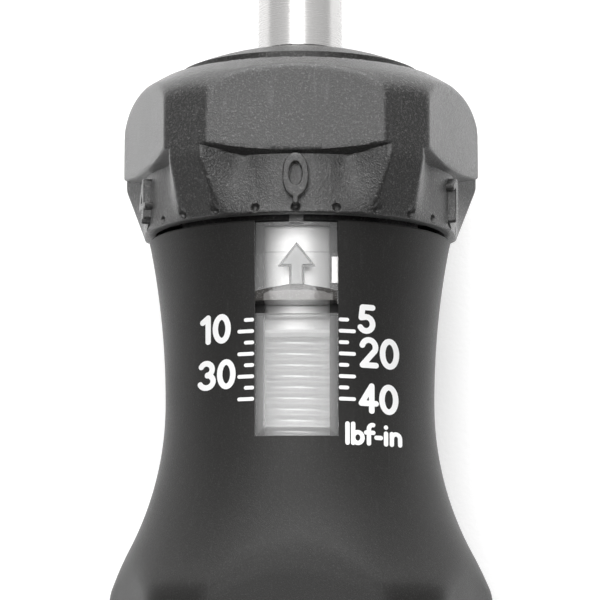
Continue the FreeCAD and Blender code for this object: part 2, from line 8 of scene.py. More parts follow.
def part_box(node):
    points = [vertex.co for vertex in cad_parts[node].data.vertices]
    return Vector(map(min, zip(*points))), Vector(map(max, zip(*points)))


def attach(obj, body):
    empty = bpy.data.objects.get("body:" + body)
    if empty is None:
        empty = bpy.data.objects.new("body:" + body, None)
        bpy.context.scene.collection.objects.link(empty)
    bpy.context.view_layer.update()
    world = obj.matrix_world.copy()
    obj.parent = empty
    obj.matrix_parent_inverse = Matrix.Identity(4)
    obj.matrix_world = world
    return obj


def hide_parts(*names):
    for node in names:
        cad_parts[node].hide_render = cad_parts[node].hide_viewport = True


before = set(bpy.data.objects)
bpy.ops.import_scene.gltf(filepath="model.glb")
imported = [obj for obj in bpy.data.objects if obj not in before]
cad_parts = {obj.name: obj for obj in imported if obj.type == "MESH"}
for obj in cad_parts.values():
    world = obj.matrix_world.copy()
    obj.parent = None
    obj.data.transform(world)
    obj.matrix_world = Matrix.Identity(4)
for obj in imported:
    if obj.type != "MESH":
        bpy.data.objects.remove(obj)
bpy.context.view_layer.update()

# Adjustable torque screwdriver, dressed around its CAD frame.
#
# Shapes are worked out in millimetres about the tool's own axis: x to the right, s along the
# axis from the dial ring's lower edge towards the bit, and f in front of the axis, towards the
# window. Angles run from the front towards the right. Meshes are written in metres.

MM = 0.001
ring_low, ring_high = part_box("dial_ring")
shaft_low, shaft_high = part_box("spindle")
handle_low, handle_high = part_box("handle_shell")
slide_low, slide_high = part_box("lock_slider")
sleeve_low, sleeve_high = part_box("adjusting_sleeve")
AXIS_Z = (shaft_low.z + shaft_high.z) / 2 / MM
ZERO_Y = ring_low.y / MM
BUTT = handle_low.y / MM - ZERO_Y
NECK_TOP = handle_high.y / MM - ZERO_Y
SLEEVE_FOOT = sleeve_low.y / MM - ZERO_Y
SLIDE_FOOT = slide_low.y / MM - ZERO_Y

# ---- sizes of the forms that the skins share with the frame ---------------------------------
LOBES = 5
MARKS = 25
PITCH = 1.27
CROWN_RADIUS = 35.0
CROWN_TOP = 22.5
CROWN_ROUND = 5.5
RING_MAIN = 19.1
RING_RIDGE = 21.4
RING_REACH = 21.9
LEDGE_HEIGHT = 7.0
LEDGE_SLOPE = 0.34
SKIRT_RADIUS = 18.3
FIN_KNEE = 6.6
FIN_FOOT = 18.5
CAP_RIM = 14.4
SEAM_GAP = 0.35
SLEEVE_RADIUS = 12.0
NECK_RADIUS = 17.75
WAIST_RADIUS = 15.75
WAIST = -20.0
FLARE_RADIUS = 36.5
SHOULDER_RADIUS = 4.5
GRIP_RADIUS = 23.3
GRIP_MAIN = 20.6
GRIP_RIDGE = 23.07
BUTT_ROUND = 5.0
SLOT_HALF = 4.7
SLOT_FOOT = NECK_TOP - 24.2
RAIL_HALF = 5.4
RAIL_FLOOR = 12.9
RAIL_ROOF = 13.9
WINDOW_HALF = 3.7
LOBE_STEP = 2 * math.pi / LOBES
CROWN_CENTRE = CROWN_TOP - CROWN_RADIUS


# ---- mesh helpers ----------------------------------------------------------------------------
def place(x, s, f):
    """World positions in metres of points given as x, height along the axis and distance in front."""
    x, s, f = np.broadcast_arrays(x, s, f)
    return np.stack([x, s + ZERO_Y, f + AXIS_Z], -1) * MM


def turn_place(angle, radius, s):
    """Points on circles about the axis: x = radius sin(angle), f = radius cos(angle)."""
    return place(radius * np.sin(angle), s, radius * np.cos(angle))


def crown_height(radius):
    return CROWN_CENTRE + np.sqrt(CROWN_RADIUS ** 2 - radius ** 2)


def grid_faces(rows, columns, wrap_rows=False, wrap_columns=False):
    """Quads of a grid whose point number is row * columns + column, wrapped where it closes."""
    i = np.arange(rows if wrap_rows else rows - 1)[:, None]
    j = np.arange(columns if wrap_columns else columns - 1)[None, :]
    below, beside = (i + 1) % rows, (j + 1) % columns
    return np.stack([i * columns + j, i * columns + beside, below * columns + beside,
                     below * columns + j], -1).reshape(-1, 4)


def mesh_piece(name, points, faces, material, body, replaces=(), sharp=35.0):
    """Object from points and faces. Its edges are smooth except those sharper than an angle."""
    mesh = bpy.data.meshes.new(name)
    mesh.from_pydata(points.reshape(-1, 3).tolist(), [], [f.tolist() for f in faces])
    mesh.polygons.foreach_set("use_smooth", np.ones(len(mesh.polygons), bool))
    mesh.set_sharp_from_angle(angle=math.radians(sharp))
    mesh.materials.append(material)
    mesh.update()
    piece = bpy.data.objects.new(name, mesh)
    bpy.context.scene.collection.objects.link(piece)
    if body:
        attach(piece, body)
    if replaces:
        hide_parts(*replaces)
    return piece


def smooth_min(a, b, k):
    """The smaller of two values, rounded where they differ by less than k:
    min(a, b) - max(k - |a - b|, 0)^2 / 4k."""
    return np.minimum(a, b) - np.maximum(k - np.abs(a - b), 0) ** 2 / (4 * k)


def smooth_max(a, b, k):
    return -smooth_min(-a, -b, k)


def steps(*stops):
    """Values that pass through stops, each given as (value, number of steps up to the next)."""
    parts = [np.linspace(a[0], b[0], a[1], endpoint=False) for a, b in zip(stops, stops[1:])]
    return np.concatenate(parts + [np.array([stops[-1][0]])])


def profile(*corners):
    """Points (radius, s) along straight runs between corners, each (radius, s, steps to the next)."""
    runs = [np.linspace(a[:2], b[:2], a[2], endpoint=False) for a, b in zip(corners, corners[1:])]
    return np.concatenate(runs + [np.array([corners[-1][:2]])])


def arc(centre, radius, start, end, count):
    """Points on a profile arc about (radius, s), from one angle in degrees to another."""
    turn = np.radians(np.linspace(start, end, count))
    return np.stack([centre[0] + radius * np.cos(turn), centre[1] + radius * np.sin(turn)], -1)


# ---- shader helpers --------------------------------------------------------------------------
class Value:
    """A number that varies over a surface. Arithmetic on it adds Math nodes."""

    def __init__(self, finish, socket):
        self.finish = finish
        self.socket = socket

    def math(self, operation, *others):
        inputs = [o.socket if isinstance(o, Value) else o for o in (self, *others)]
        return self.finish.value("ShaderNodeMath", {"operation": operation}, *inputs)

    def __add__(self, other):
        return self.math("ADD", other)

    __radd__ = __add__

    def __mul__(self, other):
        return self.math("MULTIPLY", other)

    __rmul__ = __mul__

    def __sub__(self, other):
        return self.math("SUBTRACT", other)

    def __rsub__(self, other):
        return (self * -1.0) + other

    def above(self, edge, soft):
        """Goes from 0 to 1 as the value rises through an edge."""
        return ((self - edge) * (0.5 / soft) + 0.5).math("MAXIMUM", 0.0).math("MINIMUM", 1.0)

    def within(self, low, high, soft):
        return self.above(low, soft) * (1.0 - self.above(high, soft))


class Nodes:
    """A node tree of a material or of the room, started empty."""

    def __init__(self, owner):
        owner.use_nodes = True
        self.tree = owner.node_tree
        self.tree.nodes.clear()

    def node(self, kind, settings, inputs):
        """Adds a node: its settings first, then values or links for its sockets."""
        node = self.tree.nodes.new(kind)
        for key, setting in settings.items():
            setattr(node, key, setting)
        for key, item in inputs.items():
            if isinstance(item, Value):
                item = item.socket
            if isinstance(item, bpy.types.NodeSocket):
                self.tree.links.new(item, node.inputs[key])
            else:
                node.inputs[key].default_value = item
        return node

    def value(self, kind, settings, *inputs):
        node = self.node(kind, settings, dict(enumerate(inputs)))
        return Value(self, node.outputs[0])


class Finish(Nodes):
    """One material, built node by node."""

    def __init__(self, name):
        self.material = bpy.data.materials.new(name)
        super().__init__(self.material)
        self.output = self.node("ShaderNodeOutputMaterial", {}, {})
        self.coordinates = self.node("ShaderNodeTexCoord", {}, {}).outputs["Object"]

    def part(self, axis):
        """One of the surface's own coordinates, in millimetres."""
        split = self.node("ShaderNodeSeparateXYZ", {}, {"Vector": self.coordinates})
        return Value(self, split.outputs[axis]) * 1000.0

    def stretched(self, scale):
        mapping = self.node("ShaderNodeMapping", {}, {"Vector": self.coordinates, "Scale": scale})
        return mapping.outputs[0]

    def noise(self, size, detail=2.0, rough=0.5, vector=None):
        """Cloudy noise from 0 to 1 whose blotches are about size millimetres across."""
        node = self.node("ShaderNodeTexNoise", {}, {
            "Vector": vector or self.coordinates, "Scale": 1000.0 / size, "Detail": detail,
            "Roughness": rough})
        return Value(self, node.outputs["Fac"])

    def mix(self, factor, first, second):
        node = self.node("ShaderNodeMix", {"data_type": "RGBA"}, {
            0: factor if not isinstance(factor, Value) else factor.socket,
            6: first, 7: second})
        return node.outputs[2]

    def bump(self, height, depth, strength=1.0):
        node = self.node("ShaderNodeBump", {}, {
            "Height": height, "Distance": depth * MM, "Strength": strength})
        return node.outputs[0]

    def surface(self, **inputs):
        names = {key.replace("_", " ").title(): item for key, item in inputs.items()}
        names = {key.replace("Ior", "IOR"): item for key, item in names.items()}
        shader = self.node("ShaderNodeBsdfPrincipled", {}, names)
        self.tree.links.new(shader.outputs[0], self.output.inputs["Surface"])
        return shader

    def clear(self, shader, amount):
        """Lets the view through: amount is how much of the shader stays."""
        through = self.node("ShaderNodeBsdfTransparent", {}, {"Color": (1, 1, 1, 1)})
        blend = self.node("ShaderNodeMixShader", {}, {0: amount, 1: through.outputs[0],
                                                      2: shader.outputs[0]})
        self.tree.links.new(blend.outputs[0], self.output.inputs["Surface"])


def grey(level, warm=0.0):
    return (level * (1 + warm), level, level * (1 - warm), 1.0)


def grained_plastic(name, dark, light, grain, depth, roughness, specular, sheen):
    """Spark-eroded black moulding: pits of one size, light flecks painted into the colour as painted
    glints where the pits' rims would catch the light, a slow change of shade and small rubs."""
    finish = Finish(name)
    pits = finish.noise(grain, 3.0, 0.7)
    flecks = finish.noise(grain * 1.7, 2.0, 0.6)
    cloud = finish.noise(9.0, 3.0, 0.55)
    rubs = finish.noise(0.5, 2.0, 0.5, finish.stretched((1.0, 0.12, 1.0))).above(0.66, 0.05)
    # painted glints: light flecks put into the base colour, with a little less roughness there
    painted_glints = pits.above(0.58, 0.1) * flecks.above(0.5, 0.12)
    shade = finish.mix(painted_glints, grey(dark, 0.02), grey(light, 0.02))
    shade = finish.mix(cloud * 0.35, shade, grey(dark * 1.5, 0.03))
    shade = finish.mix(rubs * 0.12, shade, grey(light * 1.3))
    finish.surface(
        base_color=shade,
        roughness=(cloud - 0.5) * 0.12 + roughness - painted_glints * 0.08,
        specular_ior_level=specular,
        sheen_weight=sheen,
        sheen_roughness=0.25,
        normal=finish.bump(pits + flecks * 0.6, depth))
    return finish.material


def satin_metal(name, shade, roughness, lines, warm=0.01, metallic=1.0):
    """Ground metal: fine lines round the piece, a little uneven, with faint stains."""
    finish = Finish(name)
    scratches = finish.noise(0.12, 3.0, 0.7, finish.stretched((0.04, 1.0, 0.04)))
    cloud = finish.noise(6.0, 3.0, 0.6)
    tone = finish.mix(scratches * 0.4, grey(shade, warm), grey(shade * 0.82, warm))
    tone = finish.mix(cloud * 0.25, tone, grey(shade * 0.9, warm * 2))
    finish.surface(
        base_color=tone,
        metallic=metallic,
        roughness=(scratches - 0.5) * 0.15 + (cloud - 0.5) * 0.1 + roughness,
        normal=finish.bump(scratches, lines))
    return finish.material


ring_plastic = grained_plastic("ring_plastic", 0.010, 0.13, 0.2, 0.07, 0.4, 0.75, 0.35)
grip_plastic = grained_plastic("grip_plastic", 0.018, 0.045, 0.12, 0.018, 0.5, 0.22, 0.12)
cap_plastic = grained_plastic("cap_plastic", 0.012, 0.12, 0.2, 0.06, 0.42, 0.4, 0.2)
shaft_steel = satin_metal("shaft_steel", 0.66, 0.26, 0.002, metallic=0.45)
inner_steel = satin_metal("inner_steel", 0.45, 0.38, 0.004)
spring_wire = satin_metal("spring_wire", 0.3, 0.3, 0.002)
bush_bronze = satin_metal("bush_bronze", 0.5, 0.35, 0.003, warm=0.3)
magnet_nickel = satin_metal("magnet_nickel", 0.55, 0.25, 0.002)


def threaded_alloy():
    """Pale alloy with the setting thread: a helix whose crests are PITCH apart, painted bright on top as
    a painted highlight.
    """
    finish = Finish("threaded_alloy")
    turn = finish.part(0).math("ARCTAN2", finish.part(2) - AXIS_Z) * (1 / (2 * math.pi))
    climb = (finish.part(1) * (1 / PITCH) + turn).math("FRACT")
    tooth = ((climb - 0.5).math("ABSOLUTE") * 2.0).math("MAXIMUM", 0.15)
    # painted highlight: the thread's crests are painted bright in the base colour
    painted_crest_highlight = tooth.above(0.86, 0.06)
    scratches = finish.noise(0.12, 3.0, 0.7, finish.stretched((0.04, 1.0, 0.04)))
    tone = finish.mix(scratches * 0.4, grey(0.68), grey(0.58))
    tone = finish.mix(painted_crest_highlight * 0.8, tone, grey(0.9))
    finish.surface(base_color=tone, metallic=0.35, roughness=scratches * 0.15 + 0.3,
                   normal=finish.bump(tooth, 0.35))
    return finish.material


def index_sleeve():
    """Satin sleeve whose bevelled foot is painted bright white, a painted highlight for the bevel's
    reflection that reads as the index edge.
    """
    finish = Finish("index_sleeve")
    height = finish.part(1) - (SLEEVE_FOOT + ZERO_Y)
    # painted highlight: the lowest 0.75 mm is painted near white and made less metallic
    edge = 1.0 - height.above(0.75, 0.05)
    scratches = finish.noise(0.12, 3.0, 0.7, finish.stretched((0.04, 1.0, 0.04)))
    cloud = finish.noise(5.0, 3.0, 0.6)
    tone = finish.mix(scratches * 0.4, grey(0.7), grey(0.56))
    tone = finish.mix(cloud * 0.3, tone, grey(0.5, 0.03))
    tone = finish.mix(edge, tone, grey(0.93))
    finish.surface(
        base_color=tone,
        metallic=(1.0 - edge) * 0.6,
        roughness=(scratches - 0.5) * 0.2 + 0.4,
        normal=finish.bump(scratches, 0.002))
    return finish.material


def printed_white():
    """White pad-printed ink: slightly uneven cover with fine pinholes."""
    finish = Finish("printed_white")
    cover = finish.noise(0.25, 3.0, 0.6)
    pinholes = finish.noise(0.12, 2.0, 0.5).above(0.72, 0.03)
    tone = finish.mix(cover * 0.5, grey(0.92), grey(0.84))
    tone = finish.mix(pinholes * 0.5, tone, grey(0.5))
    finish.surface(base_color=tone, roughness=cover * 0.15 + 0.45,
                   normal=finish.bump(cover, 0.01))
    return finish.material


def clear_plastic(name, body, amount):
    """Clear moulding with faint flow lines and dust; it is a little milky."""
    finish = Finish(name)
    dust = finish.noise(0.12, 2.0, 0.6).above(0.66, 0.04)
    flow = finish.noise(1.2, 2.0, 0.5, finish.stretched((1.0, 0.2, 1.0)))
    tone = finish.mix(dust * 0.3, grey(body), grey(0.55))
    shader = finish.surface(base_color=tone, roughness=dust * 0.2 + flow * 0.06 + 0.05,
                            specular_ior_level=0.6, normal=finish.bump(flow, 0.02))
    rim = finish.node("ShaderNodeLayerWeight", {}, {"Blend": 0.35})
    edge = Value(finish, rim.outputs["Fresnel"])
    finish.clear(shader, dust * 0.12 + flow * 0.06 + edge * 0.5 + amount)
    return finish.material


def slide_plastic():
    """Clear plastic whose thumb lip is painted dark and nearly opaque: painted shade for the thick lip
    seen from below, darker still outside a lower central patch.
    """
    finish = Finish("slide_plastic")
    across = finish.part(0)
    height = finish.part(1) - (SLIDE_FOOT + ZERO_Y)
    arch = across * across * -0.024 + 1.8
    # painted shade: the lip and its darker band are painted into the colour and made nearly opaque
    painted_lip_shade = (arch - height).above(0.0, 0.04)
    under_arch = (height - arch * 0.6).math("MULTIPLY", -1.0).above(-0.03, 0.05)
    painted_side_shade = 1.0 - across.within(-3.6, 4.1, 0.08) * under_arch
    dust = finish.noise(0.14, 2.0, 0.6).above(0.64, 0.05)
    flow = finish.noise(1.0, 3.0, 0.6)
    lip_shade_tone = finish.mix(painted_side_shade, grey(0.17, 0.03), grey(0.045, 0.06))
    tone = finish.mix(painted_lip_shade, grey(0.8), lip_shade_tone)
    tone = finish.mix(dust * 0.25, tone, grey(0.5))
    shader = finish.surface(base_color=tone, roughness=dust * 0.15 + flow * 0.08 + 0.06,
                            specular_ior_level=0.6, normal=finish.bump(flow, 0.03))
    rim = finish.node("ShaderNodeLayerWeight", {}, {"Blend": 0.3})
    edge = Value(finish, rim.outputs["Fresnel"])
    finish.clear(shader, (painted_lip_shade * 0.8 + dust * 0.1 + edge * 0.35 + 0.1).math("MINIMUM", 1.0))
    return finish.material


print_ink = printed_white()
sleeve_finish = index_sleeve()
thread_alloy = threaded_alloy()
lens_clear = clear_plastic("lens_clear", 0.85, 0.16)
slide_clear = slide_plastic()
arrow_frost = clear_plastic("arrow_frost", 0.62, 0.6)
# painted shade: dark clear finish for the rim under the slider's arrow
arrow_painted_shade = clear_plastic("arrow_painted_shade", 0.05, 0.5)
washer_black = grained_plastic("washer_black", 0.01, 0.03, 0.2, 0.01, 0.6, 0.3, 0.0)

NODE_FINISH = {
    "handle_shell": grip_plastic, "end_cap": grip_plastic, "body_tube": thread_alloy,
    "key_pins": inner_steel, "body_nut": inner_steel, "nose_cap": cap_plastic,
    "front_bush": bush_bronze, "window_lens": lens_clear, "lock_slider": slide_clear,
    "lock_spring": spring_wire, "dial_ring": ring_plastic, "ring_washer": washer_black,
    "adjusting_sleeve": sleeve_finish, "spring_seat": inner_steel, "seat_pins": inner_steel,
    "main_spring": spring_wire, "clutch_plate": inner_steel, "clutch_balls": shaft_steel,
    "spindle": shaft_steel, "bit_magnet": magnet_nickel, "bit_clip": spring_wire,
    "upper_race": inner_steel, "bearing_cage": bush_bronze, "bearing_needles": shaft_steel,
    "lower_race": inner_steel, "end_plug": inner_steel, "snap_ring": spring_wire,
}
for node_name, finish_used in NODE_FINISH.items():
    node_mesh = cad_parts[node_name].data
    node_mesh.materials.clear()
    node_mesh.materials.append(finish_used)


# ---- dial ring -------------------------------------------------------------------------------
# Sizes of the ring's own details. The soft values are the radii that join two forms.
CORE_R = 12.6
CORE_S = 12.0
MARK_HEIGHT = 0.64
MARK_RADIUS = 0.52
MARK_DEPTH = 0.5
SEAM_ROUND = 0.45
LOCK_GROOVE_INNER = 13.9
LOCK_GROOVE_OUTER = 17.1
LOCK_GROOVE_DEPTH = 2.4
NOTCH_INNER = 14.2
NOTCH_DEPTH = 2.2
NOTCH_HALF = math.radians(4.2)
FIN_EDGE_FOOT = math.radians(9.0)
FIN_EDGE_KNEE = math.radians(6.0)
FIN_ROOT = math.radians(17.0)
MARK_SPREAD = math.radians(2.0)
FACE_SOFT = 0.22
CROWN_SOFT = 0.4
LEDGE_SOFT = 0.2
SEAM_SOFT = 0.02
FIN_FACE_SOFT = 0.2
FIN_SOFT = 0.25
SKIRT_SOFT = 0.6
FOOT_SOFT = 0.35
FIN_TOP = FIN_KNEE + 2.6
HALVINGS = 26


def crown_round_profile():
    """Radius and height of the ring's nose in section: the crown, then its rounding."""
    centre_r = RING_REACH - CROWN_ROUND
    centre_s = CROWN_CENTRE + math.sqrt((CROWN_RADIUS - CROWN_ROUND) ** 2 - centre_r ** 2)
    return centre_r, centre_s


def ring_outside(angle, radius, s):
    """How far a point lies outside the ring, in millimetres, below zero inside. Upper form: the
    largest of the distances past the crown, the envelope, the five broad faces, the ridge faces
    and the undercut. Lower form: the skirt joined with the fins, whose flanks run from the fin's
    edge to a root line on the skirt. The ring is the two forms together, with rounded edges."""
    from_ridge = np.abs((angle % LOBE_STEP) - LOBE_STEP / 2)
    from_main = (angle + LOBE_STEP / 2) % LOBE_STEP - LOBE_STEP / 2
    main = radius * np.cos(from_main) - RING_MAIN
    across, ahead = radius * np.sin(from_ridge), radius * np.cos(from_ridge)
    ridge = ahead - RING_RIDGE
    faces = smooth_max(main, ridge, FACE_SOFT)
    crown = np.hypot(radius, s - CROWN_CENTRE) - CROWN_RADIUS
    round_r, round_s = crown_round_profile()
    lean = np.arctan2(s - round_s, radius - round_r)
    corner = np.hypot(radius - round_r, s - round_s) - CROWN_ROUND
    top_lean = math.atan2(round_s - CROWN_CENTRE, round_r)
    envelope = np.where(lean < 0, radius - RING_REACH, np.where(lean < top_lean, corner, crown))
    undercut = (LEDGE_HEIGHT + LEDGE_SLOPE * (radius - RING_MAIN) - s) / math.hypot(LEDGE_SLOPE, 1.0)
    upper = smooth_max(smooth_max(faces, envelope, CROWN_SOFT), undercut, LEDGE_SOFT)
    rim = CAP_RIM + SEAM_GAP + SEAM_ROUND - radius
    seam_edge = np.where(rim > 0, np.hypot(rim, SEAM_ROUND + crown) - SEAM_ROUND, -9.0)
    upper = smooth_max(upper, seam_edge, SEAM_SOFT)
    rise = np.clip(s / FIN_KNEE, 0, 1)
    foot_x, knee_x = FIN_FOOT * math.tan(FIN_EDGE_FOOT), RING_RIDGE * math.tan(FIN_EDGE_KNEE)
    edge_x = foot_x * (1 - rise) + knee_x * rise
    edge_f = FIN_FOOT * (1 - rise) + RING_RIDGE * rise
    root_x, root_f = SKIRT_RADIUS * math.sin(FIN_ROOT), SKIRT_RADIUS * math.cos(FIN_ROOT)
    run_x, run_f = root_x - edge_x, edge_f - root_f
    flank = ((across - edge_x) * run_f + (ahead - edge_f) * run_x) / np.hypot(run_x, run_f)
    face = (ahead - FIN_FOOT - (RING_RIDGE - FIN_FOOT) / FIN_KNEE * s) * 0.9
    fin = smooth_max(smooth_max(face, ridge + 0.02, FIN_FACE_SOFT), flank, FIN_SOFT)
    lower = smooth_min(radius - SKIRT_RADIUS, fin, SKIRT_SOFT)
    lower = smooth_max(np.maximum(lower, s - FIN_TOP), -s, FOOT_SOFT)
    return np.minimum(upper, lower)


def ring_reach(angle, aim):
    """Length of the ray from the ring's core to its skin, found by halving the interval."""
    cos_a, sin_a = np.cos(aim), np.sin(aim)
    near = np.full(np.broadcast_shapes(angle.shape, aim.shape), 1.0)
    far = np.full_like(near, 30.0)
    for _ in range(HALVINGS):
        half = (near + far) / 2
        out = ring_outside(angle, CORE_R + half * cos_a, CORE_S + half * sin_a) > 0
        far = np.where(out, half, far)
        near = np.where(out, near, half)
    return (near + far) / 2


def marked(angle, radius, s):
    """Presses the round setting marks into the lower edge of the skirt: depth falls as 1 - d^2
    with the distance d from a mark's centre in units of its radius."""
    step = 2 * math.pi / MARKS
    off = (angle + step / 2) % step - step / 2
    far = np.hypot(off * radius, s - MARK_HEIGHT) / MARK_RADIUS
    return radius - MARK_DEPTH * np.clip(1 - far ** 2, 0, 1) ** 0.7


def dial_skin():
    """Ring skin on a grid of angle and aim. Columns crowd at the marks; rows follow, at each
    angle, the skirt's foot, the undercut's root and edge, the crown's edge and the rim."""
    step = 2 * math.pi / MARKS
    period = steps((-MARK_SPREAD, 14), (MARK_SPREAD, 10), (step - MARK_SPREAD, 1))[:-1]
    angle = (np.arange(MARKS)[:, None] * step + period[None, :]).ravel()[None, :]
    from_ridge = (angle % LOBE_STEP) - LOBE_STEP / 2
    from_main = (angle + LOBE_STEP / 2) % LOBE_STEP - LOBE_STEP / 2
    edge_r = np.minimum(RING_MAIN / np.cos(from_main), RING_RIDGE / np.cos(from_ridge))
    off_ridge = np.abs(np.degrees(from_ridge))
    fin_r = np.interp(off_ridge, (0, 6, 17, 36), (21.3, 21.3, SKIRT_RADIUS, SKIRT_RADIUS))
    root_r = np.minimum(fin_r, edge_r - 0.1)

    def aim_at(radius, s):
        return np.arctan2(s - CORE_S, radius - CORE_R)

    foot_r = np.interp(off_ridge, (0, 9, 17, 36), (18.6, 18.7, SKIRT_RADIUS, SKIRT_RADIUS))
    round_r, round_s = crown_round_profile()
    crown_s = round_s + np.sqrt(np.maximum(CROWN_ROUND ** 2 - np.maximum(edge_r - round_r, 0) ** 2, 0))
    rim_r = CAP_RIM + SEAM_GAP
    anchors = [
        aim_at(foot_r * 0 + LOCK_GROOVE_OUTER + 0.05, 0.0),
        aim_at(foot_r, 0.0),
        aim_at(foot_r, 1.25),
        aim_at(root_r, LEDGE_HEIGHT + LEDGE_SLOPE * (root_r - RING_MAIN)),
        aim_at(edge_r, LEDGE_HEIGHT + LEDGE_SLOPE * (edge_r - RING_MAIN)),
        aim_at(edge_r, crown_s),
        aim_at(rim_r + edge_r * 0, crown_height(rim_r) - SEAM_ROUND),
    ]
    counts = (5, 15, 22, 9, 30, 26)
    aims = [a + (b - a) * (np.arange(n) / n)[:, None] for a, b, n in zip(anchors, anchors[1:], counts)]
    aim = np.concatenate(aims + [anchors[-1]], 0)
    reach = ring_reach(angle, aim)
    radius = CORE_R + reach * np.cos(aim)
    s = CORE_S + reach * np.sin(aim)
    radius = marked(angle, radius, s)
    shoulder = float(crown_height(CAP_RIM)) - 2.0
    bore = SLEEVE_RADIUS + 0.05
    off = (angle + step / 2) % step - step / 2
    roof = LOCK_GROOVE_DEPTH + np.where(np.abs(off) < NOTCH_HALF, NOTCH_DEPTH, 0.02)
    inside = [(rim_r, shoulder), (bore, shoulder), (bore, 9.0), (bore, 0.0), (LOCK_GROOVE_INNER, 0.0),
              (LOCK_GROOVE_INNER, LOCK_GROOVE_DEPTH), (NOTCH_INNER, LOCK_GROOVE_DEPTH),
              (NOTCH_INNER, roof), (LOCK_GROOVE_OUTER, roof), (LOCK_GROOVE_OUTER, 0.02)]
    radius = np.concatenate([radius] + [reach + 0 * angle for reach, _ in inside], 0)
    s = np.concatenate([s] + [height + 0 * angle for _, height in inside], 0)
    points = turn_place(angle, radius, s)
    return points, grid_faces(*radius.shape, wrap_rows=True, wrap_columns=True)


ring_points, ring_faces = dial_skin()
mesh_piece("dial_ring_skin", ring_points, ring_faces, ring_plastic, "dial", ("dial_ring",),
           40)


# ---- handle ----------------------------------------------------------------------------------
SHELL_BORE = 12.3
WEB_BORE = 10.05
WEB_TOP = -22.0
WEB_FOOT = -46.0
HOUSING_BORE = 14.05
END_SEAT_RADIUS = 16.45
END_SEAT_DEPTH = 3.0
HANDLE_COLUMNS = 320


def handle_profile():
    """Section of the handle before the broad faces are cut: neck arc, flare, shoulder, grip and
    rounded butt, then back up the inside."""
    rise = NECK_TOP - WAIST
    swell = NECK_RADIUS - WAIST_RADIUS
    neck_curve = (rise ** 2 + swell ** 2) / (2 * swell)
    flare_r = WAIST_RADIUS + FLARE_RADIUS
    shoulder_r = GRIP_RADIUS - SHOULDER_RADIUS
    reach = FLARE_RADIUS + SHOULDER_RADIUS
    drop = math.sqrt(reach ** 2 - (flare_r - shoulder_r) ** 2)
    turn = math.degrees(math.atan2(drop, flare_r - shoulder_r))
    neck_turn = math.degrees(math.asin(rise / neck_curve))
    top = np.array([(SHELL_BORE, NECK_TOP), (14.5, NECK_TOP), (16.5, NECK_TOP), (17.3, NECK_TOP),
                    (17.45, NECK_TOP), (17.56, NECK_TOP - 0.02), (17.67, NECK_TOP - 0.1),
                    (17.73, NECK_TOP - 0.2)])
    neck = arc((WAIST_RADIUS + neck_curve, WAIST), neck_curve, 180 - neck_turn + 0.2, 180, 40)
    flare = arc((flare_r, WAIST), FLARE_RADIUS, 180.7, 180 + turn, 40)
    shoulder = arc((shoulder_r, WAIST - drop), SHOULDER_RADIUS, turn, 0, 14)
    grip = profile((GRIP_RADIUS, WAIST - drop - 1.0, 46), (GRIP_RADIUS, BUTT + BUTT_ROUND + 0.5, 1))
    butt = arc((GRIP_RADIUS - BUTT_ROUND, BUTT + BUTT_ROUND), BUTT_ROUND, 0, -90, 14)
    seat_top = BUTT + END_SEAT_DEPTH
    inside = profile((END_SEAT_RADIUS, BUTT, 2), (END_SEAT_RADIUS, seat_top, 2),
                     (HOUSING_BORE, seat_top, 8), (HOUSING_BORE, WEB_FOOT, 2),
                     (WEB_BORE, WEB_FOOT, 6), (WEB_BORE, WEB_TOP, 2),
                     (SHELL_BORE, WEB_TOP, 6), (SHELL_BORE, NECK_TOP - 0.5, 1))
    return np.concatenate([top, neck[1:], flare, shoulder[1:], grip, butt, inside])


def handle_skin():
    """Handle skin on a grid of section points and angle. Outside, the radius is the smooth
    minimum of the turned section, the five broad faces and the five ridges."""
    outline = handle_profile()
    angle = np.linspace(0, 2 * math.pi, HANDLE_COLUMNS, endpoint=False)[None, :]
    from_ridge = (angle % LOBE_STEP) - LOBE_STEP / 2
    from_main = (angle + LOBE_STEP / 2) % LOBE_STEP - LOBE_STEP / 2
    faces = smooth_min(GRIP_MAIN / np.cos(from_main), GRIP_RIDGE / np.cos(from_ridge), 0.9)
    radius = smooth_min(outline[:, :1] * np.ones_like(angle), faces, 1.2)
    points = turn_place(angle, radius, outline[:, 1:])
    return points, grid_faces(len(outline), HANDLE_COLUMNS, wrap_rows=True, wrap_columns=True)


def cutter(half, near, far, low, high):
    """Box-shaped tool in front of the axis, for cutting the slot."""
    corners = [(x, s, f) for x in (-half, half) for s in (low, high) for f in (near, far)]
    points = np.array([place(*c) for c in corners])
    faces = [(0, 1, 3, 2), (4, 6, 7, 5), (0, 4, 5, 1), (2, 3, 7, 6), (0, 2, 6, 4), (1, 5, 7, 3)]
    mesh = bpy.data.meshes.new("cutter")
    mesh.from_pydata(points.tolist(), [], faces)
    tool = bpy.data.objects.new("cutter", mesh)
    bpy.context.scene.collection.objects.link(tool)
    return tool


def cut_away(piece, tools):
    """Takes the tools out of a piece for good and removes them."""
    for tool in tools:
        cut = piece.modifiers.new("cut", "BOOLEAN")
        cut.operation = "DIFFERENCE"
        cut.solver = "EXACT"
        cut.object = tool
        graph = bpy.context.evaluated_depsgraph_get()
        mesh = bpy.data.meshes.new_from_object(piece.evaluated_get(graph))
        piece.modifiers.clear()
        piece.data = mesh
        bpy.data.objects.remove(tool)
    piece.data.polygons.foreach_set("use_smooth", np.ones(len(piece.data.polygons), bool))
    piece.data.set_sharp_from_angle(angle=math.radians(30))


handle_points, handle_faces = handle_skin()
handle = mesh_piece("handle_skin", handle_points, handle_faces, grip_plastic, "handle",
                    ("handle_shell",), 30)
cut_away(handle, [
    cutter(SLOT_HALF, RAIL_FLOOR, 30.0, SLOT_FOOT, 2.0),
    cutter(RAIL_HALF, RAIL_FLOOR + 0.003, RAIL_ROOF, SLOT_FOOT + 0.003, 2.1),
    cutter(WINDOW_HALF, 1.0, RAIL_FLOOR + 0.5, SLOT_FOOT + 0.3, 2.2),
])


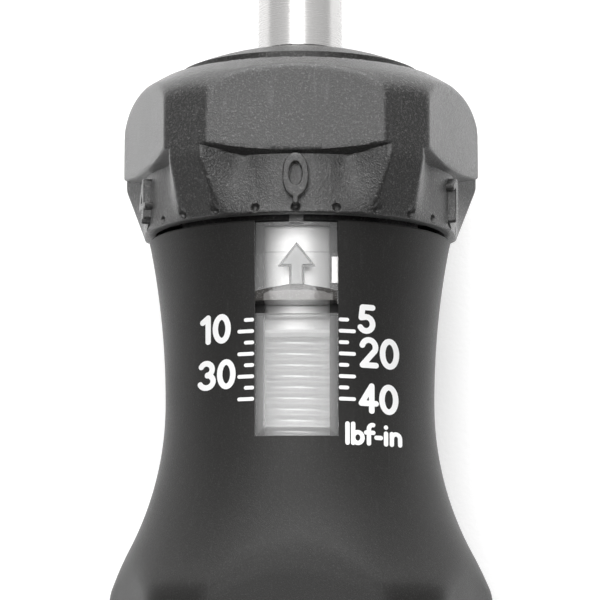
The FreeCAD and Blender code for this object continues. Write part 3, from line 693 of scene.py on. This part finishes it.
# ---- lettering and raised marks ----------------------------------------------------------------
def stroke(x, y, *path):
    """Distance from every point to a polyline of (x, y) stops."""
    best = np.full(np.broadcast_shapes(x.shape, y.shape), 1e9)
    for (ax, ay), (bx, by) in zip(path, path[1:]):
        along = ((x - ax) * (bx - ax) + (y - ay) * (by - ay)) / ((bx - ax) ** 2 + (by - ay) ** 2 + 1e-12)
        along = np.clip(along, 0, 1)
        best = np.minimum(best, np.hypot(x - ax - along * (bx - ax), y - ay - along * (by - ay)))
    return best


def bend(centre, reach, start, end, count=14):
    """Stops on an ellipse arc, angles in degrees from the right, turning left."""
    turn = np.radians(np.linspace(start, end, count))
    return list(zip(centre[0] + reach[0] * np.cos(turn), centre[1] + reach[1] * np.sin(turn)))


# Each sign is a list of strokes in a box one unit high; its width follows the sign.
SIGNS = {
    "0": (0.62, [bend((0.31, 0.5), (0.21, 0.4), 0, 360, 30)]),
    "1": (0.40, [[(0.08, 0.76), (0.26, 0.9), (0.26, 0.1)]]),
    "2": (0.62, [bend((0.31, 0.67), (0.2, 0.23), 165, -28) + [(0.12, 0.1), (0.52, 0.1)]]),
    "3": (0.62, [bend((0.29, 0.7), (0.19, 0.2), 150, -80) + bend((0.29, 0.31), (0.22, 0.21), 80, -155)]),
    "4": (0.62, [[(0.41, 0.1), (0.41, 0.9), (0.1, 0.34), (0.54, 0.34)]]),
    "5": (0.60, [[(0.5, 0.9), (0.18, 0.9), (0.14, 0.55)] + bend((0.29, 0.34), (0.21, 0.24), 110, -150)]),
    "l": (0.22, [[(0.11, 0.1), (0.11, 0.98)]]),
    "b": (0.60, [[(0.12, 0.1), (0.12, 0.98)], bend((0.31, 0.35), (0.19, 0.25), 0, 360, 26)]),
    "f": (0.38, [[(0.16, 0.1), (0.16, 0.72)] + bend((0.31, 0.76), (0.15, 0.2), 180, 80, 8),
                 [(0.05, 0.6), (0.34, 0.6)]]),
    "-": (0.36, [[(0.09, 0.38), (0.27, 0.38)]]),
    "i": (0.24, [[(0.12, 0.1), (0.12, 0.6)], [(0.12, 0.88), (0.12, 0.885)]]),
    "n": (0.56, [[(0.12, 0.1), (0.12, 0.6)],
                 [(0.12, 0.4)] + bend((0.29, 0.38), (0.17, 0.22), 180, 0, 12) + [(0.46, 0.1)]]),
}


def written(text, x, y, corner, high, thick, widen=1.0):
    """Distance past the outline of a line of signs; corner is its lower left, below zero is ink."""
    best = np.full(np.broadcast_shapes(x.shape, y.shape), 1e9)
    left = corner[0]
    for sign in text:
        width, strokes = SIGNS[sign]
        for path in strokes:
            placed = [(left + px * high * widen, corner[1] + py * high) for px, py in path]
            best = np.minimum(best, stroke(x, y, *placed))
        left += width * high * widen
    return best - thick / 2


def snapped_sheet(distance, low, high, step):
    """Grid cells inside an outline. Grid points near it are moved onto it along the distance's
    slope, so that the sheet's rim follows the outline. Returns x, y and the cells kept."""
    x = np.arange(low[0], high[0] + step, step)[None, :]
    y = np.arange(low[1], high[1] + step, step)[:, None]
    x, y = np.broadcast_arrays(x, y)
    d = distance(x, y)
    small = step / 20
    slope_x = (distance(x + small, y) - distance(x - small, y)) / (2 * small)
    slope_y = (distance(x, y + small) - distance(x, y - small)) / (2 * small)
    size = np.maximum(slope_x ** 2 + slope_y ** 2, 0.05)
    close = np.abs(d) < 0.72 * step
    x = np.where(close, x - d * slope_x / size, x)
    y = np.where(close, y - d * slope_y / size, y)
    inside = (d < 0.0) | close
    cells = grid_faces(*x.shape)
    cells = cells[inside.ravel()[cells].all(1)]
    middle = distance(x.ravel()[cells].mean(1), y.ravel()[cells].mean(1))
    return x.ravel(), y.ravel(), cells[middle < 0.02 * step]


def raised(name, distance, low, high, step, lay, top, bottom, material, body, rounding=0.0):
    """Closed plate with a given outline: its top and bottom are the same sheet laid on a surface
    at two heights, and walls join their rims. The top's rim is rounded off."""
    x, y, cells = snapped_sheet(distance, low, high, step)
    used = np.unique(cells)
    number = np.full(x.size, -1)
    number[used] = np.arange(used.size)
    cells = number[cells]
    x, y = x[used], y[used]
    edge = distance(x, y)
    drop = 0.0
    if rounding:
        near = np.clip(1 + edge / rounding, 0, 1)
        drop = rounding * (1 - np.sqrt(1 - near ** 2))
    upper = lay(x, y, top - drop)
    lower = lay(x, y, bottom + 0 * x)
    sides = np.concatenate([cells[:, [k, (k + 1) % 4]] for k in range(4)])
    key = sides.min(1) * used.size + sides.max(1)
    _, first, uses = np.unique(key, return_index=True, return_counts=True)
    rim = sides[first[uses == 1]]
    walls = np.stack([rim[:, 1], rim[:, 0], rim[:, 0] + used.size, rim[:, 1] + used.size], -1)
    faces = np.concatenate([cells, cells[:, ::-1] + used.size, walls])
    return mesh_piece(name, np.concatenate([upper, lower]), faces, material, body, sharp=50)


def neck_radius(s):
    rise = NECK_TOP - WAIST
    swell = NECK_RADIUS - WAIST_RADIUS
    curve = (rise ** 2 + swell ** 2) / (2 * swell)
    above = WAIST_RADIUS + curve - np.sqrt(curve ** 2 - (s - WAIST) ** 2)
    below = WAIST_RADIUS + FLARE_RADIUS - np.sqrt(FLARE_RADIUS ** 2 - (s - WAIST) ** 2)
    return np.where(s > WAIST, above, below)


def on_neck(x, s, lift):
    """Lays a flat drawing on the neck: x stays, and f follows the neck's radius."""
    return place(x, s, np.sqrt((neck_radius(s) + lift) ** 2 - x ** 2))


def on_skirt(turn):
    """Lays a flat drawing on the dial skirt about a turn: x becomes an arc of the skirt."""
    return lambda x, s, radius: turn_place(turn + x / SKIRT_RADIUS, radius, s)


def scale_ticks(x, s):
    """Ticks on both sides of the window, long and short in turn, one thread pitch apart."""
    best = np.full(x.shape, 1e9)
    for k in range(8):
        height = SCALE_TOP - k * PITCH
        reach = TICK_LONG if k % 2 else TICK_SHORT
        for side in (-1, 1):
            start, end = side * TICK_START, side * (TICK_START + reach)
            best = np.minimum(best, stroke(x, s, (start, height), (end, height)))
    return best - TICK_THICK / 2


SCALE_TOP = -11.67
TICK_START = 4.95
TICK_LONG = 1.5
TICK_SHORT = 0.75
TICK_THICK = 0.42
INK = 0.03
PRINT_DEPTH = -0.1
PRINT_STEP = 0.07
FIGURE_STROKE = 0.64
raised("scale_ticks", scale_ticks, (-7.2, -21.2), (7.2, -11.0), PRINT_STEP, on_neck, INK,
       PRINT_DEPTH, print_ink, "handle")
FIGURES = (("10", (-11.0, -14.15), 3.35), ("30", (-11.35, -19.35), 3.45), ("5", (6.8, -13.15), 3.3),
           ("20", (6.95, -17.0), 3.55), ("40", (6.9, -22.15), 3.5))
for figure, corner, tall in FIGURES:
    raised("scale_figure_" + figure,
           lambda x, s: written(figure, x, s, corner, tall, FIGURE_STROKE, 1.06),
           (corner[0] - 0.5, corner[1] - 0.5), (corner[0] + 5.2, corner[1] + 4.2), PRINT_STEP,
           on_neck, INK, PRINT_DEPTH, print_ink, "handle")
raised("scale_unit", lambda x, s: written("lbf-in", x, s, (5.4, -25.75), 2.45, 0.5, 1.12),
       (4.9, -26.2), (13.2, -22.7), 0.06, on_neck, INK, PRINT_DEPTH, print_ink, "handle")


def dial_numeral(sign):
    """Numeral standing on the skirt, with a stem down to its setting mark."""
    def distance(x, s):
        if sign == "0":
            outer = ((np.abs(x) / 1.42) ** 2.3 + (np.abs(s - 4.15) / 2.5) ** 2.3) ** (1 / 2.3) - 1
            inner = 1 - np.hypot(x / 0.66, (s - 4.3) / 1.3)
            body = np.maximum(outer * 1.42, inner * 0.66)
        else:
            width = SIGNS[sign][0] * 5.0
            body = written(sign, x, s, (-width / 2, 1.2), 5.0, 0.85)
        stem = stroke(x, s, (0.0, 1.2), (0.0, 1.75)) - 0.34
        return np.minimum(body, stem)
    return distance


NUMERAL_RELIEF = 0.95
NUMERAL_ROOT = 0.4
for digit in range(LOBES):
    raised("dial_numeral_%d" % digit, dial_numeral(str(digit)), (-2.1, 0.7), (2.1, 7.0),
           PRINT_STEP, on_skirt(digit * LOBE_STEP), SKIRT_RADIUS + NUMERAL_RELIEF,
           SKIRT_RADIUS - NUMERAL_ROOT, ring_plastic, "dial", 0.16)


# ---- arrow on the lock slide -----------------------------------------------------------------
def slide_face():
    """Distance from the axis to the slide's flat front, between its arrow's tip and its lip."""
    points = np.empty(3 * len(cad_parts["lock_slider"].data.vertices))
    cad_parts["lock_slider"].data.vertices.foreach_get("co", points)
    points = points.reshape(-1, 3) / MM
    height = points[:, 1] - ZERO_Y - SLIDE_FOOT
    plate = (height > ARROW_FOOT) & (height < ARROW_TIP)
    return float(points[plate, 2].max()) - AXIS_Z if plate.any() else RAIL_ROOF


def arrow(grown):
    """Distance past an arrow: a triangle joined with its stem, grown by a margin."""
    def distance(x, s):
        height = s - SLIDE_FOOT
        rise = ARROW_TIP - ARROW_HEAD
        side = (np.abs(x) * rise + (height - ARROW_TIP) * ARROW_HALF) / math.hypot(rise, ARROW_HALF)
        head = np.maximum(side, ARROW_HEAD - height)
        stem = np.maximum(np.maximum(np.abs(x) - STEM_HALF, ARROW_FOOT - height),
                          height - ARROW_HEAD - 0.2)
        return np.minimum(head, stem) - grown
    return distance


ARROW_TIP = 6.8
ARROW_HEAD = 4.4
ARROW_FOOT = 2.0
ARROW_HALF = 1.85
STEM_HALF = 0.7
ARROW_RELIEF = 0.22
SLIDE_FACE = slide_face()
# The second, wider sheet is a dark clear rim under the arrow: painted shade for the dark outline that
# the clear arrow's edges show.
for arrow_name, grown, lift, finish_used in (("slide_arrow", 0.0, ARROW_RELIEF, arrow_frost),
                                             ("slide_arrow_painted_shade", 0.16, 0.05, arrow_painted_shade)):
    raised(arrow_name, arrow(grown), (-2.3, SLIDE_FOOT + ARROW_FOOT - 0.4),
           (2.3, SLIDE_FOOT + ARROW_TIP + 0.5), 0.07, lambda x, s, f: place(x, s, f + 0 * x),
           SLIDE_FACE + lift, SLIDE_FACE - 0.1, finish_used, "slider",
           0.1 if grown == 0.0 else 0.0)


ROOM_LIGHT = 0.12
PAPER_GLOW = 0.35
LAMPS = [
    ("front", (-0.05, 0.12, 0.68), (0.36, 0.45), 3.6),
    ("bit_end", (0.0, 0.62, 0.3), (0.7, 0.35), 6.5),
]
CAMERA_ASIDE = math.radians(1.5)
CAMERA_TILT = math.radians(8.0)
CAMERA_AWAY = 330.0
CAMERA_LENS = 168.0


# ---- floor, lights and camera ----------------------------------------------------------------
def paper():
    """White paper on the bench, seen as white where nothing shades it."""
    finish = Finish("white_paper")
    fibre = finish.noise(0.8, 4.0, 0.6)
    tone = finish.mix(fibre * 0.3, grey(0.86), grey(0.82))
    shader = finish.surface(base_color=tone, roughness=0.8, specular_ior_level=0.2,
                            normal=finish.bump(fibre, 0.05))
    path = finish.node("ShaderNodeLightPath", {}, {})
    seen = Value(finish, path.outputs["Is Camera Ray"])
    seen = seen.math("MAXIMUM", Value(finish, path.outputs["Is Glossy Ray"]))
    seen = seen.math("MAXIMUM", Value(finish, path.outputs["Is Transmission Ray"]))
    glow = finish.node("ShaderNodeEmission", {}, {"Color": (1, 1, 1, 1), "Strength": seen * PAPER_GLOW})
    total = finish.node("ShaderNodeAddShader", {}, {0: shader.outputs[0], 1: glow.outputs[0]})
    finish.tree.links.new(total.outputs[0], finish.output.inputs["Surface"])
    return finish.material


floor_mesh = bpy.data.meshes.new("floor")
floor_mesh.from_pydata([(-3, -3, 0), (3, -3, 0), (3, 3, 0), (-3, 3, 0)], [], [(0, 1, 2, 3)])
floor_mesh.materials.append(paper())
floor = bpy.data.objects.new("floor", floor_mesh)
bpy.context.scene.collection.objects.link(floor)

world = bpy.data.worlds.new("studio")
bpy.context.scene.world = world
sky = Nodes(world)
sky_path = sky.node("ShaderNodeLightPath", {}, {})
seen_through = Value(sky, sky_path.outputs["Is Camera Ray"]).math(
    "MAXIMUM", Value(sky, sky_path.outputs["Is Transmission Ray"]))
room = sky.node("ShaderNodeBackground", {}, {"Color": grey(1.0), "Strength": ROOM_LIGHT})
white = sky.node("ShaderNodeBackground", {}, {"Color": grey(1.0), "Strength": 1.0})
both = sky.node("ShaderNodeMixShader", {}, {0: seen_through, 1: room.outputs[0], 2: white.outputs[0]})
sky.node("ShaderNodeOutputWorld", {}, {"Surface": both.outputs[0]})


def softbox(name, place_at, aim, size, power):
    """Rectangular area light facing a point."""
    light = bpy.data.lights.new(name, "AREA")
    light.shape = "RECTANGLE"
    light.size = size[0]
    light.size_y = size[1]
    light.energy = power
    lamp = bpy.data.objects.new(name, light)
    bpy.context.scene.collection.objects.link(lamp)
    lamp.location = place_at
    lamp.rotation_mode = "QUATERNION"
    lamp.rotation_quaternion = (Vector(aim) - Vector(place_at)).to_track_quat("-Z", "Y")
    return lamp


middle = Vector((0, (ZERO_Y - 7.3) * MM, AXIS_Z * MM))
for lamp_name, offset, size, power in LAMPS:
    softbox(lamp_name, middle + Vector(offset), middle, size, power)

camera = bpy.data.objects.new("camera", bpy.data.cameras.new("camera"))
bpy.context.scene.collection.objects.link(camera)
back = Vector((math.sin(CAMERA_ASIDE), -math.sin(CAMERA_TILT), math.cos(CAMERA_TILT))).normalized()
right = Vector((0, 1, 0)).cross(back).normalized()
up = back.cross(right)
camera.rotation_mode = "QUATERNION"
camera.rotation_quaternion = Matrix((right, up, back)).transposed().to_quaternion()
camera.location = middle + back * CAMERA_AWAY * MM
camera.data.sensor_width = 36.0
camera.data.lens = CAMERA_LENS
camera.data.clip_start = 0.02
camera.data.clip_end = 20.0
bpy.context.scene.camera = camera
bpy.context.scene.view_settings.view_transform = "Standard"
